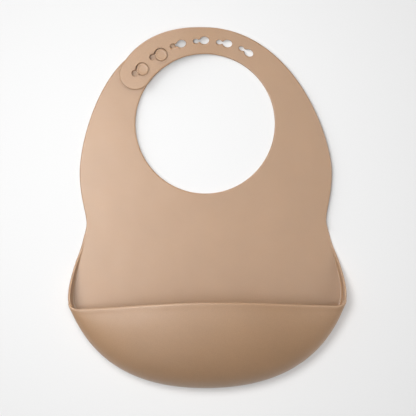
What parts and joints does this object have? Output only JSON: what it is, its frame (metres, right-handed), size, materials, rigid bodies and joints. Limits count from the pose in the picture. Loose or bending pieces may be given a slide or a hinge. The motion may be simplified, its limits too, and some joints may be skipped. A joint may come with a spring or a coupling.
{
  "type": "silicone baby bib",
  "caption": "Soft one-size silicone baby bib with an open catcher pocket and an adjustable neck band that closes with studs pushed through keyholes.",
  "frame": {"origin": "under the middle of the bib's bounding box, on the surface that it lies on", "axes": "+Y from the pocket to the crown of the neck band, +Z out of the bib's front, +X across it"},
  "size_m": [0.2294, 0.2983, 0.0423],
  "materials": {
    "silicone": "matte moulded silicone, warm sand colour"
  },
  "bodies": {
    "bib_base": {"pocket_back_panel": "silicone", "lower_chest_panel": "silicone", "pocket_bottom": "silicone", "pocket_side_left": "silicone", "pocket_side_right": "silicone", "side_rim_left": "silicone", "side_rim_right": "silicone"},
    "pocket_wall": {"pocket_front": "silicone", "pocket_rim": "silicone"},
    "upper_bib": {"upper_chest_panel": "silicone"},
    "button_strap": {"button_strap": "silicone", "lower_button_stem": "silicone", "lower_button_head": "silicone", "upper_button_stem": "silicone", "upper_button_head": "silicone"},
    "keyhole_strap": {"keyhole_strap_base": "silicone"},
    "strap_middle": {"keyhole_strap_middle": "silicone"},
    "strap_tip": {"keyhole_strap_tip": "silicone"}
  },
  "joints": [
    {"name": "pocket_open", "type": "hinge", "parent": "bib_base", "child": "pocket_wall", "pos_m": [0, -0.1493, 0.0105], "axis": [1, 0, 0], "range_deg": [0, 15], "stiffness_Nm_per_rad": 0.05},
    {"name": "chest_fold", "type": "hinge", "parent": "bib_base", "child": "upper_bib", "pos_m": [0, -0.0155, 0.002], "axis": [1, 0, 0], "range_deg": [0, 100], "stiffness_Nm_per_rad": 0.01},
    {"name": "button_strap_spread", "type": "hinge", "parent": "upper_bib", "child": "button_strap", "pos_m": [-0.09025, 0.0875, 0.001], "axis": [0, 0, 1], "range_deg": [0, 15], "stiffness_Nm_per_rad": 0.05, "deforming": ["lower_button_stem", "lower_button_head", "upper_button_stem", "upper_button_head"]},
    {"name": "keyhole_strap_spread", "type": "hinge", "parent": "upper_bib", "child": "keyhole_strap", "pos_m": [0.0871, 0.0875, 0.001], "axis": [0, 0, -1], "range_deg": [0, 15], "stiffness_Nm_per_rad": 0.05},
    {"name": "strap_curl", "type": "hinge", "parent": "keyhole_strap", "child": "strap_middle", "pos_m": [0.00705, 0.13734, 0.0025], "axis": [0.1028, 0.9947, 0], "range_deg": [0, 45], "stiffness_Nm_per_rad": 0.004},
    {"name": "strap_tip_curl", "type": "hinge", "parent": "strap_middle", "child": "strap_tip", "pos_m": [-0.03061, 0.13049, 0.00425], "axis": [-0.4462, 0.8949, 0], "range_deg": [0, 45], "stiffness_Nm_per_rad": 0.004}
  ],
  "couplings": [
    {"joint": "strap_tip_curl", "follows": "strap_curl", "ratio": 1}
  ]
}
